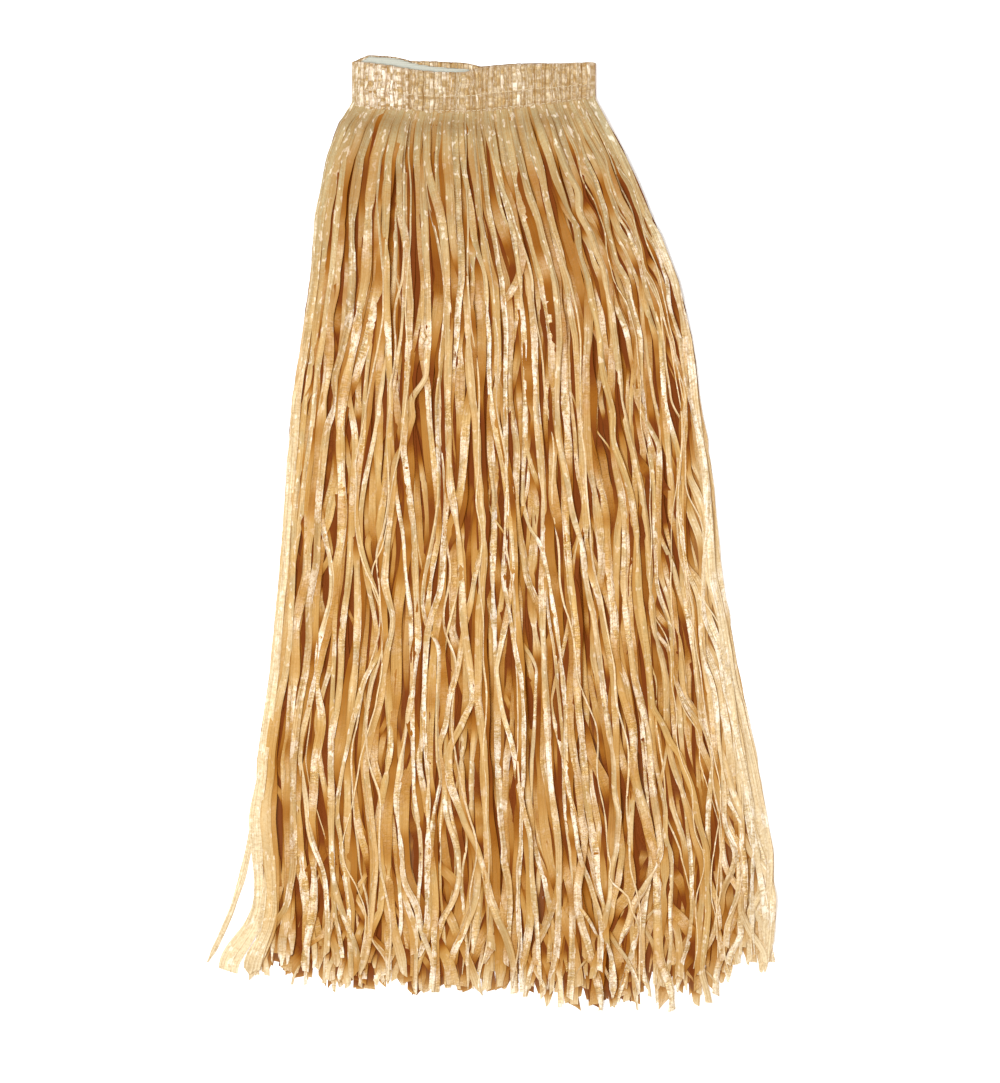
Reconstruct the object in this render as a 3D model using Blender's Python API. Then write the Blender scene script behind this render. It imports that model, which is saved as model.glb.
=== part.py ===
"""A grass skirt of plastic raffia, laid flat: a gathered waistband over an elastic tape, and six
layers of loose strands that hang from it, three in front and three behind.

Metres, +Z up from the surface that the skirt lies on, +Y towards the waist, +X to the right.
The origin is under the middle of the whole skirt, on that surface.
"""

import math
import random
from collections import namedtuple

import bmesh
import bpy
import numpy as np

# Driving sizes of the skirt
WAIST_WIDTH = 0.202  # the band laid flat, relaxed
WAIST_MIDDLE_X = -0.0151
TOP_Y = 0.3909  # the band's top edge at its left end
GAP = 0.0003  # between pieces that touch
SEAM_GAP = 0.0004  # at the side seams of the band and the tape
FRONT_TAPE_UNDER = 0.0040  # how far below the front's top fold its tape stops

# The band, from its outer face inwards
RAFFIA_WALL = 0.0017
TAPE_THICKNESS = 0.0010
WAIST_SLIT = 0.0014  # free height between the front and the back of the tape
BAND_THICKNESS = 2 * (RAFFIA_WALL + GAP + TAPE_THICKNESS) + WAIST_SLIT
SIDE_ROUND = 0.0070  # how far in from its side the band starts to turn over
TURN_ANGLES = (26, 48, 70)  # in degrees, where that round has its points
TAPE_PLACES = 25  # points across the flat of a plain half of the tube
GATHERS = 48  # across the front
GATHER_HEIGHT = 0.0008
GATHER_UNEVEN = 0.28  # how far a ridge or foot strays from even spacing
LOWEST_RIDGE, HIGHEST_FOOT = 0.55, 0.12  # of the gathers' height
GATHER_SEED = 5
FADE_POWER = 4  # how soon the gathers fade out round the band's side
STITCH_DEPTH = 0.0007

# Edges of the band as drops below TOP_Y, for places across it from 0 at the left to 1 at the right
BandEdge = namedtuple("BandEdge", "across front_top back_top tape_top bottom")
BAND_EDGES = (
    BandEdge(0.00, 0.0000, 0.0000, 0.0040, 0.0370),
    BandEdge(0.04, 0.0006, -0.0030, 0.0008, 0.0385),
    BandEdge(0.07, 0.0012, -0.0062, -0.0035, 0.0390),
    BandEdge(0.17, 0.0040, -0.0049, -0.0026, 0.0402),
    BandEdge(0.24, 0.0064, -0.0014, 0.0018, 0.0412),
    BandEdge(0.34, 0.0090, -0.0010, 0.0036, 0.0425),
    BandEdge(0.46, 0.0092, 0.0002, 0.0050, 0.0424),
    BandEdge(0.53, 0.0052, 0.0030, 0.0070, 0.0418),
    BandEdge(0.66, 0.0028, 0.0020, 0.0064, 0.0390),
    BandEdge(0.85, 0.0016, 0.0006, 0.0052, 0.0345),
    BandEdge(1.00, 0.0008, 0.0008, 0.0052, 0.0300),
)

# Rows of the gathered front from its top fold to its hem: the share of its height, how deep the
# row lies under the gathers' feet, and how much of the gathers' height it keeps
BandRow = namedtuple("BandRow", "share sunk gathered")
BAND_ROWS = (
    BandRow(0.000, 0.0009, 0.35),
    BandRow(0.035, 0.0000, 0.80),
    BandRow(0.300, -0.0003, 1.00),
    BandRow(0.560, 0.0001, 0.90),
    BandRow(0.605, STITCH_DEPTH, 0.45),
    BandRow(0.650, 0.0001, 0.90),
    BandRow(0.820, -0.0002, 1.00),
    BandRow(0.950, 0.0001, 0.90),
    BandRow(1.000, STITCH_DEPTH, 0.45),
)

# The sides of the loose strands, by the distance below TOP_Y
Side = namedtuple("Side", "down left right")
SIDES = (
    Side(0.034, -0.1160, 0.0865),
    Side(0.053, -0.1275, 0.0970),
    Side(0.081, -0.1386, 0.1121),
    Side(0.131, -0.1477, 0.1345),
    Side(0.181, -0.1527, 0.1560),
    Side(0.230, -0.1602, 0.1693),
    Side(0.280, -0.1677, 0.1751),
    Side(0.355, -0.1735, 0.1868),
    Side(0.430, -0.1793, 0.1935),
    Side(0.504, -0.1868, 0.2067),
    Side(0.579, -0.1975, 0.2216),
    Side(0.629, -0.1975, 0.2310),
    Side(0.654, -0.1960, 0.2357),
    Side(0.704, -0.1950, 0.2376),
    Side(0.753, -0.2010, 0.2385),
    Side(0.800, -0.2030, 0.2385),
)

# How far down the longest strands reach, by the place across the hem from left to right
HemReach = namedtuple("HemReach", "across reach")
HEM_REACH = (
    HemReach(0.00, 0.752),
    HemReach(0.08, 0.760),
    HemReach(0.28, 0.774),
    HemReach(0.45, 0.768),
    HemReach(0.58, 0.776),
    HemReach(0.70, 0.789),
    HemReach(0.80, 0.774),
    HemReach(0.92, 0.756),
    HemReach(1.00, 0.728),
)

# The strands
STRAND_THICKNESS = 0.0009
STRANDS_A_LAYER = 36
SPACING_UNEVEN = 0.12  # how far a strand strays from even spacing, in pitches
NARROWEST, WIDEST = 0.0046, 0.0086  # a strand's width
ROOT_SHARE = 0.84  # of the root's pitch that the strand fills
STRAND_CLEARANCE = 0.0005  # between neighbours in one layer
SHORTEST = 0.030  # how far a strand may end above the longest one beside it
FEW_SHORT = 1.6  # over 1 leaves fewer short strands than long ones
TIP_SLANT = 0.0022  # of the cut across a tip
TIP_NARROWED = 0.85
Section = namedtuple("Section", "x down width foot tilt slant")

# The strips that the strands are fused into, stacked under the band's hem
STRIP_HEIGHT = 0.0050
STRIP_THICKNESS = 0.0010
STRIP_PITCH = STRIP_THICKNESS + GAP
LOWEST = 0.0004  # the lowest strip's height over the floor
PILE_PITCH = 0.0023  # from layer to layer in the middle of the skirt
PILE_EDGE_PITCH = 0.0017  # and at its sides
PILE_MIDDLE_X = 0.0040
PILE_HALF_WIDTH = 0.2200
PILE_LENGTH = 0.060  # below the band, over which the layers open out to that pitch
LOWEST_RIDE, HIGHEST_RIDE = 0.05, 0.95  # of the layer's free height, where a strand lies
PROUD = 0.0012  # how far the outermost strands may ride up
PROUD_GROWN = 1.0  # how far below the band they would ride that high

# How the strands of a layer sway together, as waves across it that drift on the way down
Wave = namedtuple("Wave", "strength waves drift")
WAVES = (Wave(1.0, 1.0, 9.0), Wave(0.6, 2.3, -17.0))
SWAY_GROWN = 0.5  # how far down the sway has its full size

# Each layer, from the floor up: how far its strip stops short of the band's side, the stations
# below the strip where its strands bend, the waves across it, its sway and its seed
Layer = namedtuple("Layer", "name inset stations waves sway seed")
LAYERS = (
    Layer("fringe_back_outer", 0.0045, (0.024, 0.075, 0.19, 0.31, 0.43, 0.57), 1.3, 0.007, 11),
    Layer("fringe_back_middle", 0.0020, (0.024, 0.075, 0.21, 0.36, 0.54), 1.9, 0.008, 23),
    Layer("fringe_back_inner", 0.0010, (0.024, 0.075, 0.25, 0.47), 1.1, 0.010, 37),
    Layer("fringe_front_inner", 0.0010, (0.024, 0.075, 0.25, 0.47), 1.6, 0.010, 41),
    Layer("fringe_front_middle", 0.0020, (0.024, 0.075, 0.22, 0.40, 0.59), 1.2, 0.012, 53),
    Layer("fringe_front_outer", 0.0045, (0.024, 0.075, 0.18, 0.30, 0.42, 0.56), 1.7, 0.013, 67),
)

# The one strand that strays from the skirt's left side near the hem
STRAY_LAYER = "fringe_front_middle"
STRAY_FROM = 0.600
STRAY_REACH = 0.742
STRAY_OUT = 0.0427

RAFFIA = ("raffia", (0.72, 0.49, 0.24), 0.38)
RAFFIA_DEEP = ("raffia_deep", (0.62, 0.36, 0.13), 0.45)
ELASTIC = ("elastic", (0.83, 0.84, 0.78), 0.85)


def column(rows, name):
    """One named column of a table, as a list."""
    return [getattr(row, name) for row in rows]


def band_edge(name, x):
    """How far below TOP_Y the named edge of the band lies at x."""
    across = (x - WAIST_MIDDLE_X) / WAIST_WIDTH + 0.5
    return float(np.interp(across, column(BAND_EDGES, "across"), column(BAND_EDGES, name)))


def material(finish):
    """The Principled material of that name, made once."""
    name, colour, roughness = finish
    found = bpy.data.materials.get(name)
    if found:
        return found
    made = bpy.data.materials.new(name)
    made.use_nodes = True
    shader = made.node_tree.nodes["Principled BSDF"]
    shader.inputs["Base Color"].default_value = (*colour, 1.0)
    shader.inputs["Roughness"].default_value = roughness
    shader.inputs["Metallic"].default_value = 0.0
    return made


def object_from(bm, name, finish, collection):
    """A named object from a bmesh, with its normals out and its material."""
    bmesh.ops.recalc_face_normals(bm, faces=bm.faces)
    mesh = bpy.data.meshes.new(name)
    bm.to_mesh(mesh)
    bm.free()
    made = bpy.data.objects.new(name, mesh)
    made.data.materials.append(material(finish))
    collection.objects.link(made)
    return made


def wall(name, outer, inner, finish, collection):
    """A cloth wall between an outer grid of points and an inner one with the same columns.

    Each grid is a list of rows. The inner one may have fewer rows: its sides close with one face.
    """
    bm = bmesh.new()
    skins = [[[bm.verts.new(p) for p in row] for row in grid] for grid in (outer, inner)]
    for skin in skins:
        for above, below in zip(skin, skin[1:]):
            for i in range(len(above) - 1):
                bm.faces.new((above[i], above[i + 1], below[i + 1], below[i]))
    out, into = skins
    for first, second in ((out[0], into[0]), (out[-1], into[-1])):
        for i in range(len(first) - 1):
            bm.faces.new((first[i], first[i + 1], second[i + 1], second[i]))
    for end in (0, -1):
        side = [row[end] for row in out] + [row[end] for row in reversed(into)]
        bm.faces.new(side)
    return object_from(bm, name, finish, collection)


def half_section(half_width, half_height, round_in, flats):
    """Points (x, height) of half a flattened tube, from its left side over the top to its right.

    flats are the x places of the flat part, and the heights are above the tube's middle.
    """
    turns = [math.radians(angle) for angle in TURN_ANGLES]
    straight = half_width - round_in
    left = [(-half_width, SEAM_GAP / 2)]
    left += [(-straight - round_in * math.cos(a), half_height * math.sin(a)) for a in turns]
    right = [(-x, z) for x, z in reversed(left)]
    return left + [(x, half_height) for x in flats] + right


def gather_places(count, seed):
    """Places from -1 to 1 of the gathers' ridges and feet, with each one's height from 0 to 1."""
    dice = random.Random(seed)
    places = []
    for i in range(2 * count + 1):
        inner = 0 < i < 2 * count
        uneven = dice.uniform(-GATHER_UNEVEN, GATHER_UNEVEN) if inner else 0.0
        ridge = dice.uniform(LOWEST_RIDGE, 1.0) if i % 2 else dice.uniform(0.0, HIGHEST_FOOT)
        places.append(((i + uneven) / count - 1.0, ridge))
    return places


def make_band_front(collection):
    """The gathered raffia front of the waistband, with its two stitched rows sunk in."""
    half_width = WAIST_WIDTH / 2
    straight = half_width - SIDE_ROUND
    gathers = gather_places(GATHERS, GATHER_SEED)
    flats = [place * straight for place, _ in gathers]
    section = half_section(half_width, BAND_THICKNESS / 2, SIDE_ROUND, flats)
    plain = half_section(
        half_width - RAFFIA_WALL,
        BAND_THICKNESS / 2 - RAFFIA_WALL,
        SIDE_ROUND - RAFFIA_WALL,
        flats,
    )
    turned = (len(section) - len(gathers)) // 2
    ridges = [0.0] * turned + [ridge for _, ridge in gathers] + [0.0] * turned
    outer = []
    for row in BAND_ROWS:
        points = []
        for (x, z), ridge in zip(section, ridges):
            at = WAIST_MIDDLE_X + x
            top, bottom = band_edge("front_top", at), band_edge("bottom", at)
            flat_share = min(1.0, z / (BAND_THICKNESS / 2))
            lift = (GATHER_HEIGHT * ridge * row.gathered - row.sunk) * flat_share**FADE_POWER
            down = top + row.share * (bottom - top)
            points.append((at, TOP_Y - down, BAND_THICKNESS / 2 + z + lift))
        outer.append(points)
    inner = [
        [
            (WAIST_MIDDLE_X + x, TOP_Y - band_edge(edge, WAIST_MIDDLE_X + x), BAND_THICKNESS / 2 + z)
            for x, z in plain
        ]
        for edge in ("front_top", "bottom")
    ]
    return wall("waistband_front", outer, inner, RAFFIA, collection)


def half_tube_wall(name, facing, depth, thickness, top_edge, under, finish, collection):
    """The front or back half of a flattened tube, depth in from the band's outer face.

    Its top lies the distance under below the named edge of the band.
    """
    flats = [s * (WAIST_WIDTH / 2 - SIDE_ROUND) for s in np.linspace(-1, 1, TAPE_PLACES)]
    middle = BAND_THICKNESS / 2
    grids = []
    for inwards in (depth, depth + thickness):
        section = half_section(
            WAIST_WIDTH / 2 - inwards, middle - inwards, SIDE_ROUND - inwards, flats
        )
        grid = []
        for share in (0.0, 0.5, 1.0):
            points = []
            for x, z in section:
                at = WAIST_MIDDLE_X + x
                top, bottom = band_edge(top_edge, at) + under, band_edge("bottom", at)
                points.append((at, TOP_Y - top - share * (bottom - top), middle + facing * z))
            grid.append(points)
        grids.append(grid)
    return wall(name, *grids, finish, collection)


def side_at(name, down):
    """The x of the skirt's left or right side at a distance below TOP_Y."""
    return float(np.interp(down, column(SIDES, "down"), column(SIDES, name)))


def smooth(share):
    """A soft step from 0 to 1."""
    share = min(1.0, max(0.0, share))
    return share * share * (3.0 - 2.0 * share)


def layer_room(level, x, below):
    """(foot, pitch) of the room that a layer has at x, a distance below the band's hem."""
    off = min(1.0, abs(x - PILE_MIDDLE_X) / PILE_HALF_WIDTH)
    piled = PILE_EDGE_PITCH + (PILE_PITCH - PILE_EDGE_PITCH) * (1.0 - off * off)
    pitch = STRIP_PITCH + (piled - STRIP_PITCH) * smooth(below / PILE_LENGTH)
    return LOWEST + level * pitch, pitch


def strand_ends(layer, shares, dice):
    """How far below TOP_Y each strand ends."""
    reaches = np.interp(shares, column(HEM_REACH, "across"), column(HEM_REACH, "reach"))
    ends = [reach - SHORTEST * dice.random() ** FEW_SHORT for reach in reaches]
    if layer.name == STRAY_LAYER:
        ends[0] = STRAY_REACH
    return ends


def strand_centre(layer, share, down, starts):
    """The x of a strand a distance below TOP_Y, for its share of the way across the skirt."""
    left = side_at("left", down) + WIDEST / 2
    right = side_at("right", down) - WIDEST / 2
    sway = 0.0
    for wave, start in zip(WAVES, starts):
        turn = 2.0 * math.pi * layer.waves * wave.waves * share
        sway += wave.strength * math.sin(turn + start + wave.drift * down)
    free = math.sqrt(math.sin(math.pi * share)) * smooth(down / SWAY_GROWN)
    return left + (right - left) * share + layer.sway * sway * free


def strand_sections(layer, level):
    """The sections of each strand of a layer, from under its strip to its tip."""
    dice = random.Random(layer.seed)
    last = STRANDS_A_LAYER - 1
    uneven = [dice.uniform(-SPACING_UNEVEN, SPACING_UNEVEN) for _ in range(last + 1)]
    shares = [min(1.0, max(0.0, (i + off) / last)) for i, off in enumerate(uneven)]
    wish = [dice.uniform(NARROWEST, WIDEST) for _ in shares]
    ends = strand_ends(layer, shares, dice)
    starts = [dice.uniform(0.0, 2.0 * math.pi) for _ in WAVES]
    strands = [[] for _ in shares]
    for below in (*layer.stations, None):
        hems = [band_edge("bottom", WAIST_MIDDLE_X + (s - 0.5) * WAIST_WIDTH) for s in shares]
        downs = ends if below is None else [hem + STRIP_HEIGHT + below for hem in hems]
        centres = [strand_centre(layer, s, down, starts) for s, down in zip(shares, downs)]
        if layer.name == STRAY_LAYER:
            centres[0] -= STRAY_OUT * smooth((downs[0] - STRAY_FROM) / (STRAY_REACH - STRAY_FROM))
        for i, (x, down, hem) in enumerate(zip(centres, downs, hems)):
            beside = [abs(x - centres[j]) for j in (i - 1, i + 1) if 0 <= j <= last]
            width = min(wish[i], min(beside) - STRAND_CLEARANCE)
            foot, pitch = layer_room(level, x, down - hem)
            room = max(0.0, pitch - GAP - STRAND_THICKNESS)
            ride = dice.uniform(LOWEST_RIDE, HIGHEST_RIDE)
            tilt = room * min(ride, 1.0 - ride) * dice.uniform(-1.0, 1.0)
            if layer is LAYERS[-1]:
                foot += PROUD * dice.random() * smooth((down - hem) / PROUD_GROWN)
            slant = 0.0
            if below is None:
                width *= TIP_NARROWED
                slant = dice.uniform(-TIP_SLANT, TIP_SLANT)
            strands[i].append(Section(x, down, width, foot + room * ride, tilt, slant))
    return strands


def section_corners(section):
    """The four corners of a strand's section, round from its lower left."""
    corners = []
    for side, height in ((-1, 0.0), (1, 0.0), (1, STRAND_THICKNESS), (-1, STRAND_THICKNESS)):
        x = section.x + side * section.width / 2
        y = TOP_Y - section.down + side * section.slant
        corners.append((x, y, section.foot + height + side * section.tilt))
    return corners


def strip_rings(layer, level, roots):
    """The rings along a layer's strip, four points each, and whether a root follows each one."""
    half = WAIST_WIDTH / 2 - layer.inset
    pitch = 2 * half / roots
    low = LOWEST + level * STRIP_PITCH
    places, rooted = [-half], []
    for i in range(roots):
        middle = -half + (i + 0.5) * pitch
        places += [middle - ROOT_SHARE * pitch / 2, middle + ROOT_SHARE * pitch / 2]
        rooted += [False, True]
    places.append(half)
    rooted.append(False)
    rings = []
    for place in places:
        x = WAIST_MIDDLE_X + place
        hem = TOP_Y - band_edge("bottom", x) - GAP
        foot = hem - STRIP_HEIGHT
        top = low + STRIP_THICKNESS
        rings.append(((x, foot, low), (x, foot, top), (x, hem, top), (x, hem, low)))
    return rings, rooted


def make_fringe(layer, level, finish, collection):
    """One layer of loose strands, fused at their roots into a narrow strip under the band's hem."""
    bm = bmesh.new()
    strands = strand_sections(layer, level)
    places, rooted = strip_rings(layer, level, len(strands))
    rings = [[bm.verts.new(corner) for corner in ring] for ring in places]
    bm.faces.new(rings[0])
    bm.faces.new(rings[-1])
    waiting = iter(strands)
    for a, b, has_root in zip(rings, rings[1:], rooted):
        for j in (1, 2, 3):
            k = (j + 1) % 4
            bm.faces.new((a[j], b[j], b[k], a[k]))
        if not has_root:
            bm.faces.new((a[0], b[0], b[1], a[1]))
            continue
        ring = [a[0], b[0], b[1], a[1]]
        for section in next(waiting):
            fresh = [bm.verts.new(corner) for corner in section_corners(section)]
            for j in range(4):
                k = (j + 1) % 4
                bm.faces.new((ring[j], ring[k], fresh[k], fresh[j]))
            ring = fresh
        bm.faces.new(ring)
    return object_from(bm, layer.name, finish, collection)


def make_skirt():
    """Every piece of the skirt, in one collection."""
    collection = bpy.data.collections.new("grass_skirt")
    bpy.context.scene.collection.children.link(collection)
    make_band_front(collection)
    half_tube_wall("waistband_back", -1, 0.0, RAFFIA_WALL, "back_top", 0.0, RAFFIA, collection)
    depth, thick, under = RAFFIA_WALL + GAP, TAPE_THICKNESS, FRONT_TAPE_UNDER
    half_tube_wall("elastic_front", 1, depth, thick, "front_top", under, ELASTIC, collection)
    half_tube_wall("elastic_back", -1, depth, thick, "tape_top", 0.0, ELASTIC, collection)
    for level, layer in enumerate(LAYERS):
        finish = RAFFIA_DEEP if layer.name.endswith("inner") else RAFFIA
        make_fringe(layer, level, finish, collection)


for leftover in list(bpy.data.objects):
    bpy.data.objects.remove(leftover)
make_skirt()
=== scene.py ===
"""The looks of a grass skirt: crinkled raffia tape in a loose pile under a gathered waistband."""

import math
from collections import namedtuple

import bpy
import numpy as np
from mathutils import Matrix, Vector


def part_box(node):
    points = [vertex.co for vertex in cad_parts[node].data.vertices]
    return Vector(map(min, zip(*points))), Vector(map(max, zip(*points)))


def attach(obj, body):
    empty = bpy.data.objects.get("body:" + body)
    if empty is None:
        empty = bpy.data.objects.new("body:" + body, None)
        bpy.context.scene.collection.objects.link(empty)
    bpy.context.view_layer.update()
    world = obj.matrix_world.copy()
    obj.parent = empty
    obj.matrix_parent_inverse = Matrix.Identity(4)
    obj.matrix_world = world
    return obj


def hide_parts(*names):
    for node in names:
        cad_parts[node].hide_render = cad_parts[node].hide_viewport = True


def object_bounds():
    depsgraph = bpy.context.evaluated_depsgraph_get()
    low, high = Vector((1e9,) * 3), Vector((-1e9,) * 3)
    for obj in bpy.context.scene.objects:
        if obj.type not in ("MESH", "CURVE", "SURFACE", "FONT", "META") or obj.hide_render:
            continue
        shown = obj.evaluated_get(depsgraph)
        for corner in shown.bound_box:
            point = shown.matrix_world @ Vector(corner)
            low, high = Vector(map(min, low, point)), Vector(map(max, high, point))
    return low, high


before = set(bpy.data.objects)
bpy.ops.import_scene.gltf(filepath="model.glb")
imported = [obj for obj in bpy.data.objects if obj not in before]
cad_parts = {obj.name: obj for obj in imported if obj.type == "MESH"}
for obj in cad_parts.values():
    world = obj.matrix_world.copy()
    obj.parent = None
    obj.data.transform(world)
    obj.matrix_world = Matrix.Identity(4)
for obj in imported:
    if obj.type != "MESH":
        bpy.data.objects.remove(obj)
cad_low, cad_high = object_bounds()

# The view, straight down on the skirt, which lies on a plain white floor under a bright lamp
# from the left, which gives the raffia its glints, and a larger, weaker one from the right.
PHOTO_PIXEL = 0.00083
VIEW_CENTRE = (0.0066, -0.0066)
VIEW_HEIGHT = 1083 * PHOTO_PIXEL
LENS, SENSOR = 100.0, 36.0

camera = bpy.data.objects.new("camera", bpy.data.cameras.new("camera"))
camera.data.lens = LENS
camera.data.sensor_width = SENSOR
camera.location = (*VIEW_CENTRE, VIEW_HEIGHT * LENS / SENSOR)
bpy.context.scene.collection.objects.link(camera)
bpy.context.scene.camera = camera
bpy.context.scene.view_settings.view_transform = "Standard"

world = bpy.data.worlds.new("studio")
world.use_nodes = True
sky = world.node_tree.nodes["Background"]
sky.inputs["Color"].default_value = (1.0, 0.74, 0.45, 1.0)
sky.inputs["Strength"].default_value = 0.36
bpy.context.scene.world = world

Lamp = namedtuple("Lamp", "name place size watts colour")
LAMPS = (
    Lamp("key", (-0.54, 0.08, 1.95), 0.78, 45.0, (0.88, 1.04, 1.16)),
    Lamp("fill", (0.9, -0.4, 1.7), 1.4, 3.5, (1.0, 1.0, 1.0)),
)
for lamp in LAMPS:
    light = bpy.data.lights.new(lamp.name, "AREA")
    light.size = lamp.size
    light.energy = lamp.watts
    light.color = lamp.colour
    holder = bpy.data.objects.new(lamp.name, light)
    holder.location = lamp.place
    aim = -holder.location
    holder.rotation_euler = aim.to_track_quat("-Z", "Y").to_euler()
    bpy.context.scene.collection.objects.link(holder)

bpy.ops.mesh.primitive_plane_add(size=12.0, location=(0.0, 0.0, 0.0))
floor = bpy.context.object
floor.name = "floor"
floor_paint = bpy.data.materials.new("floor_paint")
floor_paint.use_nodes = True
FLOOR_LOOK = {
    "Base Color": (0.92, 0.92, 0.92, 1.0),
    "Roughness": 0.9,
    "Emission Color": (0.92, 0.96, 1.0, 1.0),
    "Emission Strength": 0.38,
}
for socket, value in FLOOR_LOOK.items():
    floor_paint.node_tree.nodes["Principled BSDF"].inputs[socket].default_value = value
floor.data.materials.append(floor_paint)


# Raffia, the one stuff that the band and the strands are made of: straw-coloured plastic film,
# a few millimetres wide, creased along its length and crinkled across it, where it glints.
# Its colours hold painted light: near-white painted glints on the crinkles, painted shade at the
# strands' edges and, darker and more orange, deeper down in the pile, where its light has come
# through more film; a paler painted backlight where few strands lie over the white floor; and a
# painted orange glow in the emission.
STRAW_PALE = (0.67, 0.505, 0.310, 1.0)
STRAW_GOLD = (0.58, 0.395, 0.175, 1.0)
STRAW_DULL = (0.49, 0.345, 0.175, 1.0)
# Painted glint: near-white colour put into the base colour where the film is crinkled.
STRAW_GLINT = (1.0, 0.90, 0.76, 1.0)
# Painted backlight: a paler colour where few strands lie over the white floor.
STRAW_BACKLIT = (0.84, 0.68, 0.46, 1.0)
# Dark lines: the film's own lengthwise streaks and mottle, and painted shade at the strands' edges and
# between crinkles.
STRAW_STREAK_AND_SHADE = (0.30, 0.15, 0.035, 1.0)
STRAND_ROOT = (0.29, 0.262, 0.158, 1.0)
BAND_STRAW = (0.395, 0.303, 0.170, 1.0)
# Painted shade in the band's pleat valleys and on its back half's top rim.
BAND_CREASE_SHADE = (0.25, 0.150, 0.055, 1.0)
# Painted shade colours for strands down in the pile, from shallow to deepest.
HONEY = (0.54, 0.300, 0.070, 1.0)
AMBER = (0.35, 0.118, 0.005, 1.0)
UMBER = (0.135, 0.018, 0.0003, 1.0)
# Painted glow in the emission, for light that comes through the film: orange on every strand, redder
# deeper down, paler where the pile over the floor is thin.
FILM_GLOW = (0.110, 0.036, 0.0, 1.0)
AMBER_GLOW = (0.050, 0.012, 0.0, 1.0)
FLOOR_GLOW = (0.120, 0.078, 0.036, 1.0)
STRAW_LIT = (0.90, 0.70, 0.45, 1.0)
RIB_LENGTH = 0.0022
WRINKLE_LENGTH = 0.0060


class Wire:
    """One output of a node. Sums and products of it add Math nodes to its tree."""

    def __init__(self, tree, socket):
        self.tree, self.socket = tree, socket

    def maths(self, operation, first, second=0.0):
        return node(self.tree, "ShaderNodeMath", {"operation": operation}, {0: first, 1: second})

    def __add__(self, other):
        return self.maths("ADD", self, other)

    def __radd__(self, other):
        return self.maths("ADD", other, self)

    def __sub__(self, other):
        return self.maths("SUBTRACT", self, other)

    def __rsub__(self, other):
        return self.maths("SUBTRACT", other, self)

    def __mul__(self, other):
        return self.maths("MULTIPLY", self, other)

    def __rmul__(self, other):
        return self.maths("MULTIPLY", other, self)

    def __abs__(self):
        return self.maths("ABSOLUTE", self)

    def ramp(self, low, high):
        """Nothing at low and all at high, smoothly."""
        settings = {"interpolation_type": "SMOOTHSTEP"}
        inputs = {"Value": self, "From Min": low, "From Max": high}
        return node(self.tree, "ShaderNodeMapRange", settings, inputs)


def node(tree, kind, settings, inputs, output=0):
    """Adds a node with its settings, then its sockets' values or links, and gives an output."""
    made = tree.nodes.new(kind)
    for name, value in settings.items():
        setattr(made, name, value)
    for key, value in inputs.items():
        if isinstance(value, Wire):
            tree.links.new(value.socket, made.inputs[key])
        else:
            made.inputs[key].default_value = value
    return Wire(tree, made.outputs[output])


def mixed(tree, share, first, second):
    """Two colours mixed by a share."""
    return node(tree, "ShaderNodeMix", {"data_type": "RGBA"}, {0: share, 6: first, 7: second}, output=2)


def noise(tree, vector, scale, detail=2.0):
    """A noise from 0 to 1 over a vector."""
    inputs = {"Vector": vector, "Scale": scale, "Detail": detail}
    return node(tree, "ShaderNodeTexNoise", {}, inputs)


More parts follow.
